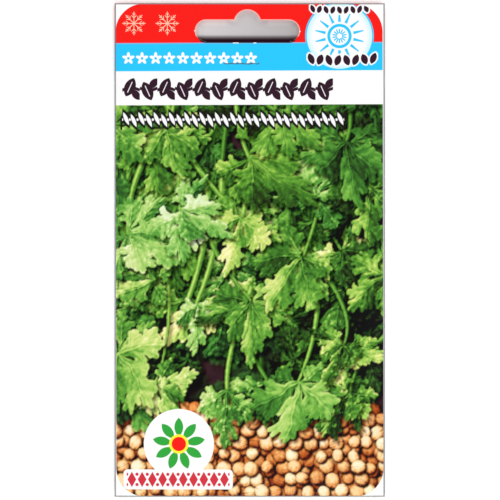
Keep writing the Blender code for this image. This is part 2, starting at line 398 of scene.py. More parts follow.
FOLD_REACH = LAYER_PITCH / 2
FOLD_LENGTH = math.pi * LAYER_PITCH
FRONT_EDGE = HALF_WIDTH - FOLD_REACH - PAPER / 2
BOTTOM_Y = -TOP_Y + FOLD_REACH + PAPER / 2
HEADER_Y = TOP_Y - HEADER_HEIGHT
TAB_TOP_Y = 50.0
BACK_BOTTOM_Y = BOTTOM_Y + 3 * PAPER
SLEEVE_START = FRONT_EDGE + FOLD_LENGTH
FLAP_START = BOTTOM_Y - FOLD_LENGTH
PICTURE_TOP = 44.6
COLUMNS = 12
PICTURE_ROWS = 35
TURN_STEPS = 6
CUTS = 9
PUNCH_START = -2.0
PUNCH_DEPTH = 8.0


def smooth(low, high, value):
    """Rises from 0 at low to 1 at high, flat at both."""
    t = min(1.0, max(0.0, (value - low) / (high - low)))
    return t * t * (3 - 2 * t)


def fullness(x, y):
    """How far the pocket is open: 1 over the seeds, 0 at its folds and in the header."""
    across = 1 - min(1.0, abs(x) / HALF_WIDTH) ** SIDE_POWER
    if y < BELLY_CENTRE_Y:
        t = (BELLY_CENTRE_Y - y) / (BELLY_CENTRE_Y + TOP_Y)
        along = 1 - min(1.0, t) ** BOTTOM_POWER
    else:
        t = min(1.0, max(0.0, (y - BELLY_TOP_Y) / (HEADER_Y - BELLY_TOP_Y)))
        along = (1 + math.cos(math.pi * t)) / 2
    return across * along


def back_height(x, y):
    """How high the middle of the back's paper lies over the table."""
    return PAPER / 2 + EDGE_HEIGHT * max(0.0, 1 - fullness(x, y) / FLAT_SHARE)


def paper_wave(x, y):
    """The slight waves that a filled packet's front keeps."""
    wave = math.sin(x * 0.11 + y * 0.05 + 0.6) + 0.7 * math.sin(x * 0.07 - y * 0.13 + 2.0)
    return wave + 0.4 * math.sin(x * 0.31 + y * 0.17)


def front_height(x, y):
    """How high the middle of the front's paper lies over the table."""
    layers = 2 - smooth(TAB_TOP_Y, HEADER_Y, y)
    open_here = fullness(x, y)
    wave = WAVE_HEIGHT * open_here * paper_wave(x, y)
    return back_height(x, y) + LAYER_PITCH * layers + BELLY_RISE * open_here + wave


def side_fold(side, share, y, under):
    """A place on a side's fold, at this share of its half turn from the front down to the height under."""
    over = front_height(FRONT_EDGE, y)
    turn = math.pi * share
    x = side * (FRONT_EDGE + FOLD_REACH * math.sin(turn))
    return Vector((x, y, (over + under) / 2 + (over - under) / 2 * math.cos(turn)))


def place_on_packet(a, b):
    """Where the point of the flat blank at a across and b along comes to lie when it is folded."""
    if b < FLAP_START:
        reach = FLAP_START - b
        x = a
        if abs(a) > FRONT_EDGE - FLAP_INSET - 1:
            x -= math.copysign(FLAP_TAPER * reach, a)
        return Vector((x, BOTTOM_Y + reach, back_height(x, BOTTOM_Y + reach) - LAYER_PITCH))
    if b < BOTTOM_Y:
        over = front_height(a, BOTTOM_Y)
        under = back_height(a, BOTTOM_Y) - LAYER_PITCH
        turn = math.pi * (BOTTOM_Y - b) / FOLD_LENGTH
        z = (over + under) / 2 + (over - under) / 2 * math.cos(turn)
        return Vector((a, BOTTOM_Y - FOLD_REACH * math.sin(turn), z))
    if a > SLEEVE_START:
        x = FRONT_EDGE - (a - SLEEVE_START)
        return Vector((x, b, back_height(x, b) + LAYER_PITCH))
    if a > FRONT_EDGE:
        under = back_height(FRONT_EDGE, b) + LAYER_PITCH
        return side_fold(1, (a - FRONT_EDGE) / FOLD_LENGTH, b, under)
    if a < -SLEEVE_START:
        x = -FRONT_EDGE + (-a - SLEEVE_START)
        return Vector((x, b, back_height(x, b)))
    if a < -FRONT_EDGE:
        return side_fold(-1, (-a - FRONT_EDGE) / FOLD_LENGTH, b, back_height(FRONT_EDGE, b))
    return Vector((a, b, front_height(a, b)))


def on_blank(a, b):
    """Whether the blank has paper here: its tab and flap are narrower than its front and back."""
    if b < BOTTOM_Y:
        return abs(a) < FRONT_EDGE - FLAP_INSET
    if a > FRONT_EDGE:
        return BACK_BOTTOM_Y < b < TAB_TOP_Y
    if a < -FRONT_EDGE:
        return b > BACK_BOTTOM_Y
    return True


def even(low, high, count):
    return [low + (high - low) * i / count for i in range(count + 1)]


def folded_blank():
    """The blank as an open sheet without thickness, folded, with its front's and back's faces marked."""
    turn = even(0.0, FOLD_LENGTH, TURN_STEPS)[1:]
    pitch = FRONT_EDGE / COLUMNS
    over_front = even(-FRONT_EDGE, FRONT_EDGE, 2 * COLUMNS)
    over_front[1] = -FRONT_EDGE + FLAP_INSET
    over_front[-2] = FRONT_EDGE - FLAP_INSET
    over_back = [SLEEVE_START + pitch * i for i in range(1, 2 * COLUMNS)]
    over_back.append(SLEEVE_START + 2 * FRONT_EDGE - BACK_INSET)
    over_tab = even(SLEEVE_START, SLEEVE_START + TAB_WIDTH, 4)[1:]
    across = [-a for a in reversed(over_back)] + [-FRONT_EDGE - a for a in reversed(turn)]
    across += over_front + [FRONT_EDGE + a for a in turn] + over_tab
    along = [FLAP_START - FLAP_LENGTH * i / 3 for i in (3, 2, 1, 0)]
    along += [BOTTOM_Y - a for a in reversed(turn[:-1])]
    along += even(BOTTOM_Y, PICTURE_TOP, PICTURE_ROWS)
    along += [TAB_TOP_Y - 2.5, TAB_TOP_Y, (TAB_TOP_Y + HEADER_Y) / 2, HEADER_Y, TOP_Y]
    along.insert(along.index(BOTTOM_Y) + 1, BACK_BOTTOM_Y)
    columns = len(across) - 1
    rows = len(along) - 1
    bm = bmesh.new()
    bmesh.ops.create_grid(bm, x_segments=columns, y_segments=rows, size=0.5)
    stations = {}
    for vert in bm.verts:
        i = round((vert.co.x + 0.5) * columns)
        j = round((vert.co.y + 0.5) * rows)
        stations[vert] = (across[i], along[j])
    cut_away = []
    for face in bm.faces:
        a = sum(stations[vert][0] for vert in face.verts) / 4
        b = sum(stations[vert][1] for vert in face.verts) / 4
        if not on_blank(a, b):
            cut_away.append(face)
        printed_front = abs(a) < FRONT_EDGE + FOLD_LENGTH / 2 and b > BOTTOM_Y - FOLD_LENGTH / 2
        face.material_index = 0 if printed_front else 1
    for vert, (a, b) in stations.items():
        vert.co = place_on_packet(a, b)
    bmesh.ops.delete(bm, geom=cut_away, context="FACES")
    return bm


def arc(centre, radius, start, end, steps):
    angles = [math.radians(start + (end - start) * i / steps) for i in range(steps + 1)]
    return [(centre[0] + radius * math.cos(t), centre[1] + radius * math.sin(t)) for t in angles]


def slot_outline():
    """A slot with round ends, and a domed hump whose feet are filleted into the slot's upper side."""
    end = SLOT_HEIGHT / 2
    end_x = SLOT_WIDTH / 2 - end
    hump_y = end + HUMP_RISE - HUMP_RADIUS
    fillet_y = end + HUMP_FILLET
    foot_x = math.sqrt((HUMP_RADIUS + HUMP_FILLET) ** 2 - (fillet_y - hump_y) ** 2)
    lean = math.degrees(math.atan2(fillet_y - hump_y, foot_x))
    points = arc((end_x, 0), end, -90, 90, 24)
    points += arc((foot_x, fillet_y), HUMP_FILLET, 270, 180 + lean, 6)
    points += arc((0, hump_y), HUMP_RADIUS, lean, 180 - lean, 32)[1:-1]
    points += arc((-foot_x, fillet_y), HUMP_FILLET, -lean, -90, 6)
    points += arc((-end_x, 0), end, 90, 270, 24)
    return points


def slot_punch():
    """The slot's outline as a block that runs through all the layers of the header."""
    bm = bmesh.new()
    rim = [bm.verts.new((x + SLOT_SHIFT, y + SLOT_Y, PUNCH_START)) for x, y in slot_outline()]
    base = bm.faces.new(rim)
    made = bmesh.ops.extrude_face_region(bm, geom=[base])["geom"]
    top = [part for part in made if isinstance(part, bmesh.types.BMVert)]
    bmesh.ops.translate(bm, verts=top, vec=(0, 0, PUNCH_DEPTH))
    bmesh.ops.recalc_face_normals(bm, faces=bm.faces)
    return bm


def applied(piece):
    """The piece's mesh with its modifiers applied, as a bmesh in millimetres."""
    bpy.context.view_layer.update()
    graph = bpy.context.evaluated_depsgraph_get()
    mesh = bpy.data.meshes.new_from_object(piece.evaluated_get(graph))
    bm = bmesh.new()
    bm.from_mesh(mesh)
    bmesh.ops.scale(bm, verts=bm.verts, vec=(1 / MM, 1 / MM, 1 / MM))
    bpy.data.objects.remove(piece)
    return bm


def finely_gridded(bm):
    """Divides the front's printed faces below the header finely enough to hold the picture."""
    fine = []
    for face in bm.faces:
        middle = face.calc_center_median()
        on_front = face.normal.z > 0.5 and face.material_index == 0
        if on_front and BOTTOM_Y < middle.y < PICTURE_TOP and abs(middle.x) < FRONT_EDGE:
            fine.append(face)
    edges = {edge for face in fine for edge in face.edges}
    bmesh.ops.subdivide_edges(bm, edges=list(edges), cuts=CUTS, use_grid_fill=True)
    for vert in bm.verts:
        inside = abs(vert.co.x) < FRONT_EDGE - 0.05 and BOTTOM_Y + 1 < vert.co.y < PICTURE_TOP - 0.05
        if inside and vert.co.z > front_height(vert.co.x, vert.co.y):
            vert.co.z = front_height(vert.co.x, vert.co.y) + PAPER / 2
    return bm


# The picture on the front
# A print of coriander in ink on the paper, made up here from leaflets, stalks and seeds that are laid one
# over the other from the back to the front, each with its own shadow, folds and ribs.

DOTS = 6.0
PICTURE_COLUMNS = int(PACKET_WIDTH * DOTS)
PICTURE_LINES = int((PICTURE_TOP + 1 + TOP_Y) * DOTS)
LIGHT = math.radians(-35)
CROWD_SEED = 28
PICTURE_SEED = 8
TIP_SEED = 3
FAR_AWAY = 9.0
SHADOW_DOTS = 8
LEAF_SHADOW = np.array([0.97, 0.95, 1.0], np.float32)
SEED_SHADOW = np.array([0.86, 1.04, 1.12], np.float32)
SEED_GAP = np.array([0.88, 1.0, 1.02], np.float32)
STALK_TINT = np.array([1.12, 1.02, 0.82], np.float32)
DEEP_LEAFLETS = 130
LOOSE_STALKS = 4
LOWEST_TIP = -43.0
TRIES = 14
SEED_TONES = (0.76, 0.88, 0.96, 1, 1.04, 1.1)


def printed(red, green, blue):
    """The brightness of an 8-bit colour."""
    return tuple((part / 255) ** 2.2 for part in (red, green, blue))


LEAF_COLOURS = (
    (0.00, printed(24, 16, 20)),
    (0.12, printed(34, 38, 30)),
    (0.28, printed(48, 80, 40)),
    (0.44, printed(68, 128, 52)),
    (0.60, printed(106, 172, 70)),
    (0.74, printed(162, 208, 104)),
    (0.86, printed(210, 229, 144)),
    (1.00, printed(246, 250, 214)),
)
SEED_COLOURS = (
    (0.00, printed(40, 6, 4)),
    (0.14, printed(98, 32, 12)),
    (0.30, printed(166, 86, 42)),
    (0.48, printed(210, 138, 78)),
    (0.66, printed(238, 184, 120)),
    (0.84, printed(252, 220, 160)),
    (1.00, printed(255, 244, 210)),
)

# A layer of seeds: its tone, its pitch, and how far its upper edge lies below the heap's
SEED_LAYERS = ((0.26, 3.3, 0.0), (0.70, 3.6, 0.9), (1.10, 4.1, 1.8))

# A layer of leaves: its number of sprays, its darkest and brightest tone, its gloss, the leaflets' length,
# and how far apart the sprays are
LEAF_LAYERS = (
    (36, 0.16, 0.30, 0.1, 15.0, 10.5),
    (28, 0.30, 0.48, 0.7, 17.0, 12.0),
    (20, 0.44, 0.62, 1.0, 20.0, 14.5),
)

# A tip of a lobe: where on the lobe it starts, its lean in degrees, its length and its half width there
LOBE_TIPS = (
    (0.50, 0, 0.48, 0.125),
    (0.47, -38, 0.41, 0.112),
    (0.47, 38, 0.41, 0.112),
    (0.30, -60, 0.34, 0.082),
    (0.30, 60, 0.34, 0.082),
)


def coloured(stops, value):
    """The colours that lie at these values between the stops."""
    places = [place for place, _ in stops]
    parts = [np.interp(value, places, [colour[i] for _, colour in stops]) for i in range(3)]
    return np.stack(parts, axis=-1).astype(np.float32)


def eased(low, high, value):
    """Rises from 0 at low to 1 at high, or falls where low is the larger, all over the picture."""
    t = np.clip((value - low) / (high - low), 0, 1)
    return t * t * (3 - 2 * t)


def soft_noise(size, seed):
    """Smooth noise from 0 to 1 over the picture, with spots about size millimetres across."""
    cell = size * DOTS
    cells = (int(PICTURE_LINES / cell) + 3, int(PICTURE_COLUMNS / cell) + 3)
    grid = np.random.default_rng(seed).random(cells)
    rows = np.arange(PICTURE_LINES) / cell
    columns = np.arange(PICTURE_COLUMNS) / cell
    i, j = rows.astype(int), columns.astype(int)
    s, t = rows - i, columns - j
    s = (s * s * (3 - 2 * s))[:, None]
    t = (t * t * (3 - 2 * t))[None, :]
    lower = grid[np.ix_(i, j)] * (1 - t) + grid[np.ix_(i, j + 1)] * t
    upper = grid[np.ix_(i + 1, j)] * (1 - t) + grid[np.ix_(i + 1, j + 1)] * t
    return (lower * (1 - s) + upper * s).astype(np.float32)


ink = np.zeros((PICTURE_LINES, PICTURE_COLUMNS, 3), np.float32)
grain = soft_noise(0.9, 3) * 0.6 + soft_noise(0.35, 4) * 0.4
patches = soft_noise(5.0, 5) * 0.65 + soft_noise(1.8, 6) * 0.35


def softened(colours, times):
    """The picture with each dot evened out with its neighbours, this many times over."""
    for _ in range(times):
        for axis in (0, 1):
            colours = (colours + np.roll(colours, 1, axis) + np.roll(colours, -1, axis)) / 3
    return colours


def window(x, y, reach):
    """The part of the picture round a place, and where its dots lie in millimetres from that place."""
    left = max(0, int((x - reach + HALF_WIDTH) * DOTS))
    right = min(PICTURE_COLUMNS, int((x + reach + HALF_WIDTH) * DOTS) + 1)
    low = max(0, int((y - reach + TOP_Y) * DOTS))
    high = min(PICTURE_LINES, int((y + reach + TOP_Y) * DOTS) + 1)
    if left >= right or low >= high:
        return None
    columns = (np.arange(left, right, dtype=np.float32) + 0.5) / DOTS - HALF_WIDTH - x
    lines = (np.arange(low, high, dtype=np.float32) + 0.5) / DOTS - TOP_Y - y
    across, along = np.meshgrid(columns, lines)
    return (slice(low, high), slice(left, right)), across, along


def shade_below(part, distance, offset, reach, strength):
    """Darkens the leaves and seeds below with the soft shadow of a shape at this distance in millimetres."""
    rows, columns = distance.shape
    first_row = SHADOW_DOTS - round(offset[1] * DOTS)
    first_column = SHADOW_DOTS - round(offset[0] * DOTS)
    moved = np.pad(distance, SHADOW_DOTS, constant_values=FAR_AWAY)
    moved = moved[first_row:first_row + rows, first_column:first_column + columns]
    shadow = eased(reach, -0.5 * reach, moved)[..., None]
    red, green = ink[part][..., :1], ink[part][..., 1:2]
    ink[part] *= 1 - strength * shadow * np.where(red > green, SEED_SHADOW, LEAF_SHADOW)


def lay(part, distance, colour):
    """Inks a shape, with an edge one dot wide."""
    cover = np.clip(0.5 - distance * DOTS, 0, 1)[..., None]
    ink[part] = ink[part] * (1 - cover) + colour * cover


def leaflet_form(draw):
    """The three lobes of a leaflet of length 1, and the tapered strokes that make up its lobes and teeth.

    A stroke is its start, its end, and its half widths at both."""
    lobes = []
    strokes = []
    spread = draw.uniform(46, 66)
    for side in (-1, 0, 1):
        turn = math.radians(side * spread + draw.uniform(-6, 6))
        length = (0.98 - 0.14 * abs(side)) * draw.uniform(0.9, 1.05)
        along = (math.sin(turn), math.cos(turn))
        lobes.append((0.0, 0.02, along[0] * length, 0.02 + along[1] * length, 0.16, 0.34))
        core_x, core_y = along[0] * length * 0.60, along[1] * length * 0.60
        strokes.append((0.0, 0.02, core_x, 0.02 + core_y, 0.022, draw.uniform(0.12, 0.16)))
        for share, lean, reach, wide in LOBE_TIPS:
            angle = turn + math.radians(lean + draw.uniform(-9, 9))
            x, y = along[0] * length * share, 0.02 + along[1] * length * share
            far = length * reach * draw.uniform(0.78, 1.14)
            strokes.append((x, y, x + math.sin(angle) * far, y + math.cos(angle) * far, wide, 0.048))
            for way in (-1, 1):
                branch = angle + way * math.radians(draw.uniform(26, 42))
                tooth = far * draw.uniform(0.33, 0.47)
                middle = draw.uniform(0.42, 0.60)
                from_x = x + math.sin(angle) * far * middle
                from_y = y + math.cos(angle) * far * middle
                to_x, to_y = from_x + math.sin(branch) * tooth, from_y + math.cos(branch) * tooth
                strokes.append((from_x, from_y, to_x, to_y, wide * 0.58, 0.038))
    return lobes, strokes


def stroke_field(u, v, strokes, margin):
    """The distance to the shape of the strokes, and to the nearest of their ribs.

    For the nearest stroke it also gives the place across and along it, its lean and its number."""
    flat_u, flat_v = u.ravel(), v.ravel()
    distance = np.full(flat_u.shape, FAR_AWAY, np.float32)
    across = np.zeros_like(distance)
    along = np.zeros_like(distance)
    lean = np.zeros_like(distance)
    rib = np.full(flat_u.shape, FAR_AWAY, np.float32)
    nearest = np.zeros(flat_u.shape, np.int32)
    for number, (x0, y0, x1, y1, thin, wide) in enumerate(strokes):
        reach = max(thin, wide) + margin
        near_u = np.abs(flat_u - (x0 + x1) / 2) < abs(x1 - x0) / 2 + reach
        near_v = np.abs(flat_v - (y0 + y1) / 2) < abs(y1 - y0) / 2 + reach
        near = np.flatnonzero(near_u & near_v)
        if not near.size:
            continue
        run_x, run_y = x1 - x0, y1 - y0
        length = math.hypot(run_x, run_y)
        from_x, from_y = flat_u[near] - x0, flat_v[near] - y0
        t = np.clip((from_x * run_x + from_y * run_y) / length ** 2, 0, 1)
        side = (from_x * run_y - from_y * run_x) / length
        away = np.hypot(from_x - run_x * t, from_y - run_y * t)
        radius = thin + (wide - thin) * t + 0.24 * (thin + wide) * t * (1 - t)
        here = away - radius
        nearer = here < distance[near]
        chosen = near[nearer]
        distance[chosen] = here[nearer]
        across[chosen] = side[nearer] / radius[nearer]
        along[chosen] = t[nearer]
        lean[chosen] = math.atan2(run_x, run_y)
        nearest[chosen] = number
        rib[near] = np.minimum(rib[near], np.abs(side) + 3 * np.maximum(0, away - np.abs(side)))
    return [field.reshape(u.shape) for field in (distance, across, along, lean, rib, nearest)]


def lay_leaflet(draw, x, y, heading, size, tone, warmth=0.0, gloss=0.5, shadow=0.8):
    """One leaflet with its base at x, y. A heading of 0 points up the packet, and it turns to the right."""
    found = window(x, y, size * 1.2 + 1.5)
    lobes, strokes = leaflet_form(draw)
    squeeze = draw.uniform(0.50, 1.0)
    bend = draw.uniform(-0.3, 0.3)
    phase = [draw.uniform(0, 2 * math.pi) for _ in range(4)]
    swell = draw.uniform(0, 2 * math.pi)
    lobe_tones = [draw.uniform(-0.19, 0.13) + gloss * draw.choice((0, 0, 0, 0.2, 0.36)) for _ in range(3)]
    if not found:
        return
    part, dx, dy = found
    turn = math.radians(heading)
    v = (dx * math.sin(turn) + dy * math.cos(turn)) / size
    u = (dx * math.cos(turn) - dy * math.sin(turn)) / size / squeeze
    u = u + bend * v * v
    waved_u = u + 0.020 * np.sin(10 * v + phase[0]) + 0.008 * np.sin(27 * v + phase[1])
    waved_v = v + 0.020 * np.sin(11 * u + phase[2]) + 0.008 * np.sin(29 * u + phase[3])
    distance, across, along, lean, rib, _ = stroke_field(waved_u, waved_v, strokes, 1.4 / size)
    _, lobe_across, lobe_along, lobe_lean, lobe_rib, lobe = stroke_field(waved_u, waved_v, lobes, 0.5)
    distance = distance * size
    shade_below(part, distance, (0.7, -1.0), 1.1, shadow)
    fold = np.cos(lobe_lean + turn + math.pi / 2 - LIGHT) * np.tanh(lobe_across * 5)
    ripple = np.cos(lean + turn + math.pi / 2 - LIGHT) * np.clip(across, -1, 1)
    rise = np.cos((u * math.cos(swell) + v * math.sin(swell)) * 4.0 + phase[0])
    blotch = patches[part]
    value = tone + 0.11 * fold + 0.08 * ripple + 0.09 * rise
    value = value + 0.22 * (blotch - 0.5) + 0.16 * (grain[part] - 0.5)
    own_tone = np.array(lobe_tones, np.float32)[lobe]
    value = value + own_tone * eased(0.0, 0.65, lobe_along) * (0.6 + 0.8 * blotch)
    puff = np.sin(lobe_along * 26 - np.abs(lobe_across) * 9 + phase[1] + 5 * blotch)
    puff = puff * eased(1.0, 0.4, np.abs(lobe_across)) * (0.5 + blotch)
    value = value + 0.055 * puff
    vein = np.exp(-(lobe_rib * size / 0.16) ** 2) * (1 - 0.5 * lobe_along)
    twig = np.exp(-(rib * size / 0.10) ** 2) * eased(1.0, 0.6, along)
    crease = np.exp(-((lobe_rib * size - 0.45) / 0.30) ** 2) * (1 - 0.6 * lobe_along)
    value = value + 0.16 * vein + 0.08 * twig - 0.09 * crease
    shine = eased(0.55, 0.98, 0.5 * rise + 0.45 * fold + 0.45 * ripple + 1.1 * (blotch - 0.3))
    value = value + gloss * (0.22 * shine + 0.30 * eased(0.60, 0.84, grain[part]) * (0.4 + blotch))
    value = value - 0.45 * np.maximum(0, value - 0.72)
    rim = np.exp(-((distance + 0.16) / 0.14) ** 2)
    value = value + 0.05 * rim - 0.10 * eased(0.55, 0.0, np.hypot(u, v) * 4)
    tint = np.array([1 + 0.26 * warmth, 1 + 0.03 * warmth, 1 - 0.25 * warmth], np.float32)
    lay(part, distance, coloured(LEAF_COLOURS, np.minimum(value, 0.96)) * tint)


def curve_points(start, middle, end, count=14):
    """Places along the curve from start to end that is drawn towards the middle."""
    points = []
    for i in range(count + 1):
        t = i / count
        weights = ((1 - t) ** 2, 2 * t * (1 - t), t * t)
        points.append([sum(w * p for w, p in zip(weights, parts)) for parts in zip(start, middle, end)])
    return points


def lay_stalk(start, middle, end, width, tone, shadow=0.6, taper=0.5):
    """One stalk that bends past the middle and loses this share of its width, with its lit and dark side."""
    points = curve_points(start, middle, end)
    x = sum(point[0] for point in points) / len(points)
    y = sum(point[1] for point in points) / len(points)
    found = window(x, y, max(max(abs(a - x), abs(b - y)) for a, b in points) + 2)
    if not found:
        return
    part, dx, dy = found
    strokes = []
    for i, ((x0, y0), (x1, y1)) in enumerate(zip(points[:-1], points[1:])):
        wide = [width / 2 * (1 - taper * (i + step) / (len(points) - 1)) for step in (0, 1)]
        strokes.append((x0 - x, y0 - y, x1 - x, y1 - y, *wide))
    distance, across, along, lean, _, _ = stroke_field(dx, dy, strokes, 1.4)
    shade_below(part, distance, (0.6, -0.8), 0.9, shadow)
    facing = np.cos(lean + math.pi / 2 - LIGHT)
    side = np.clip(across, -1, 1)
    value = tone + 0.16 * side * facing - 0.12 * side * side + 0.10 * (grain[part] - 0.5)
    value = value + 0.16 * np.exp(-((side - 0.3 * np.sign(facing)) / 0.25) ** 2)
    lay(part, distance, coloured(LEAF_COLOURS, value) * STALK_TINT)


def lay_spray(draw, x, y, heading, size, tone, **look):
    """A stalk that comes down from above and carries three leaflets."""
    turn = math.radians(180 + draw.gauss(0, 26))
    back = draw.uniform(1.2, 2.6) * size
    sway = draw.uniform(-0.9, 0.9) * size
    start = (x - math.sin(turn) * back + sway, y - math.cos(turn) * back + 0.3 * abs(sway))
    middle = (x - math.sin(turn) * back * 0.5 - 0.3 * sway, y - math.cos(turn) * back * 0.45)
    lay_stalk(start, middle, (x, y), draw.uniform(0.9, 1.5) * size / 14, min(0.60, tone + 0.08))
    for side in draw.sample((-1, 1), 2):
        lean = heading + side * draw.uniform(58, 90)
        side_x = x + math.sin(math.radians(lean)) * size * 0.04
        side_y = y + math.cos(math.radians(lean)) * size * 0.04
        share = draw.uniform(0.62, 0.9)
        lay_leaflet(draw, side_x, side_y, lean, size * share, tone + draw.uniform(-0.10, 0.06), **look)
    lean = heading + draw.uniform(-10, 10)
    lay_leaflet(draw, x, y, lean, size, tone + draw.uniform(-0.04, 0.08), **look)


def lay_seed(draw, x, y, radius, tone):
    """One round seed with its ribs, some with a split, and its shadow on the seeds behind it."""
    found = window(x, y, radius * 1.9)
    turn = draw.uniform(0, math.pi)
    narrow = draw.uniform(0.84, 1.0)
    tilt = draw.uniform(-0.9, 0.9)
    red = draw.uniform(-0.06, 0.22) + 0.45 * max(0, 0.95 - tone)
    split = draw.random() < 0.22
    if not found:
        return
    part, dx, dy = found
    dx, dy = dx / radius, dy / radius
    u = dx * math.cos(turn) + dy * math.sin(turn)
    v = (dy * math.cos(turn) - dx * math.sin(turn)) / narrow
    from_middle = np.hypot(u, v)
    shadow = eased(1.28, 0.90, np.hypot(dx - 0.14, dy + 0.18))[..., None]
    ink[part] *= 1 - 0.98 * shadow * SEED_GAP
    rise = np.sqrt(np.clip(1 - np.minimum(from_middle, 1) ** 2, 0, 1))
    lit = np.clip(0.34 * dy - 0.26 * dx + 0.88 * rise, 0, 1)
    pole = u * math.cos(tilt) + rise * math.sin(tilt)
    around = np.arctan2(v, rise * math.cos(tilt) - u * math.sin(tilt))
    ribs = np.cos(around * 9) * np.sqrt(np.clip(1 - pole * pole, 0, 1))
    blotch = patches[part] - 0.5
    value = 0.23 + 0.69 * lit + 0.07 * ribs + 0.42 * (grain[part] - 0.5) + 0.42 * blotch
    value = value - 0.16 * np.exp(-((np.abs(pole) - 1) / 0.02) ** 2)
    if split:
        value = value - 0.28 * np.exp(-(v / 0.08) ** 2)
        value = value + 0.10 * np.exp(-((np.abs(v) - 0.17) / 0.08) ** 2)
    value = np.minimum(value * tone, 0.32 + 0.60 * tone)
    tint = np.array([1 + 0.2 * red, 1 - 0.5 * red, 1 - 1.1 * red], np.float32)
    lay(part, (from_middle - 1) * radius, coloured(SEED_COLOURS, value) * tint)


def seeds_top(x):
    """The upper edge of the heap of seeds."""
    return -49.5 + 3.0 * math.sin(x * 0.075 + 1.1) + 2.2 * math.sin(x * 0.21 + 0.4)


def paint_seeds(draw):
    for tone, pitch, lower in SEED_LAYERS:
        spots = []
        y = -TOP_Y - 2
        while y < seeds_top(0) + 12:
            x = -HALF_WIDTH - 2 + draw.uniform(0, pitch)
            while x < HALF_WIDTH + 2:
                spot = (x + draw.uniform(-0.6, 0.6), y + draw.uniform(-0.6, 0.6))
                share = 0.88 if tone > 1 else 1
                if spot[1] < seeds_top(spot[0]) + 2 - lower and draw.random() < share:
                    spots.append(spot)
                x += pitch * draw.uniform(0.95, 1.25)
            y += pitch * 0.9
        draw.shuffle(spots)
        for x, y in spots:
            lay_seed(draw, x, y, draw.uniform(1.75, 2.45), tone * draw.choice(SEED_TONES))


def paint_leaves(draw):
    crowd = soft_noise(20.0, CROWD_SEED)
    tips = random.Random(TIP_SEED)
    for count, dark, bright, gloss, size, apart in LEAF_LAYERS:
        for _ in range(LOOSE_STALKS):
            x, y = draw.uniform(-38, 38), draw.uniform(-34, 16)
            high = (x + draw.uniform(-12, 12), y + draw.uniform(14, 24))
            low = (x + draw.uniform(-12, 12), max(LOWEST_TIP, y - draw.uniform(14, 22)))
            lay_stalk(high, (x + draw.uniform(-5, 5), y), low, draw.uniform(1.3, 2.1), bright, taper=0.3)
            lay_leaflet(tips, *low, 180 + tips.gauss(0, 25), size * tips.uniform(0.75, 1.0),
                        tips.uniform(dark, bright), warmth=tips.uniform(-0.3, 0.8), gloss=gloss)
        sprays = []
        for _ in range(count * TRIES):
            x = draw.uniform(-44, 44)
            y = draw.uniform(-44, 52)
            line = min(PICTURE_LINES - 1, max(0, int((y + TOP_Y) * DOTS)))
            column = min(PICTURE_COLUMNS - 1, max(0, int((x + HALF_WIDTH) * DOTS)))
            here = crowd[line, column]
            clear = all(math.hypot(x - a, y - b) > apart for a, b, _ in sprays)
            if len(sprays) < count and here > 0.40 and clear:
                sprays.append((x, y, here))
        for x, y, here in sorted(sprays, key=lambda spray: spray[1]):
            tone = dark + (bright - dark) * draw.random() + 0.2 * (here - 0.70)
            tone -= 0.001 * x + 0.0001 * max(0, x + 10) * max(0, y - 8)
            lay_spray(draw, x, y, 180 + draw.gauss(0, 50), size * draw.uniform(0.75, 1.2), tone,
                      warmth=draw.uniform(-0.3, 0.8), gloss=gloss * draw.random())


def paint_picture():
    draw = random.Random(PICTURE_SEED)
    ink[:] = np.array(printed(60, 38, 44), np.float32) * (0.5 + 0.8 * grain[..., None])
    for _ in range(DEEP_LEAFLETS):
        lay_leaflet(draw, draw.uniform(-44, 44), draw.uniform(-54, 48), draw.uniform(100, 260),
                    draw.uniform(9, 15), draw.uniform(0.08, 0.22), gloss=0.0, shadow=0.5)
    ink[:] = softened(ink, 4) * 0.92 + np.array(printed(52, 44, 46), np.float32) * 0.16
    paint_seeds(draw)
    paint_leaves(draw)


# The print on the front and back
# Offset ink under a thin gloss: a red, a cyan and a white band over the picture, with rounded corners. On
# them lie rows of leaves, blossoms and grains, a sun and a flower, all plain ornaments.

RED = (0.90, 0.010, 0.007)
CRIMSON = (0.62, 0.030, 0.050)
CYAN = (0.020, 0.545, 0.930)
WHITE = (0.92, 0.92, 0.92)
DARK = (0.030, 0.008, 0.020)
BLACK = (0.008, 0.006, 0.006)
GREEN = (0.030, 0.370, 0.045)
YELLOW = (0.93, 0.84, 0.04)
PALE_CYAN = (0.60, 0.86, 0.95)
PALE_GREEN = (0.45, 0.75, 0.42)
OVERPRINT = (0.35, 0.35, 0.50)
FROST = (0.93, 0.58, 0.42)
DARK_MARK_COLOUR = (0.06, 0.09, 0.12)
RIM_HIGHLIGHT = (0.93, 0.52, 0.46)
LIP_SHADOW_COLOUR = (0.02, 0.006, 0.016)
EDGE_SHADE = (0.16, 0.16, 0.16)
PAPER_SHADE = (0.35, 0.33, 0.31)
PAPER_WHITE = (0.93, 0.92, 0.90)
CORNER_RADIUS = 8.8
MARGIN = 0.6
MARGIN_LEAN = 0.002
EDGE_SHADE_WIDTH = 0.22
BAND_SLOPE = 0.0045
RED_FROM_Y = 63.8
CYAN_FROM_Y = 55.1
SOFT = 0.10
STARS = ((-35.8, 69.9), (-25.5, 69.9))
STAR_REACH = 3.6
BLOSSOMS = (-39.6, 2.4)
BLOSSOM_Y = 59.1
BLOSSOM_PITCH = 4.2
BLOSSOM_RADIUS = 1.45
DARK_MARK = (-8.0, 2.9)
DARK_MARK_Y = 57.5
VINE = (-39.4, 25.6)
VINE_Y = 49.6
VINE_PITCH = 5.42
GRAINS = (-39.4, 29.0)
GRAIN_Y = 40.2
GRAIN_PITCH = 2.36
GRAIN_OUTLINE = 0.8
SUN = (27.6, 66.0)
SUN_RINGS = ((10.6, CYAN, SOFT), (10.1, PALE_CYAN, SOFT), (9.0, WHITE, 1.6))
FLOWER = (-21.9, -59.7)
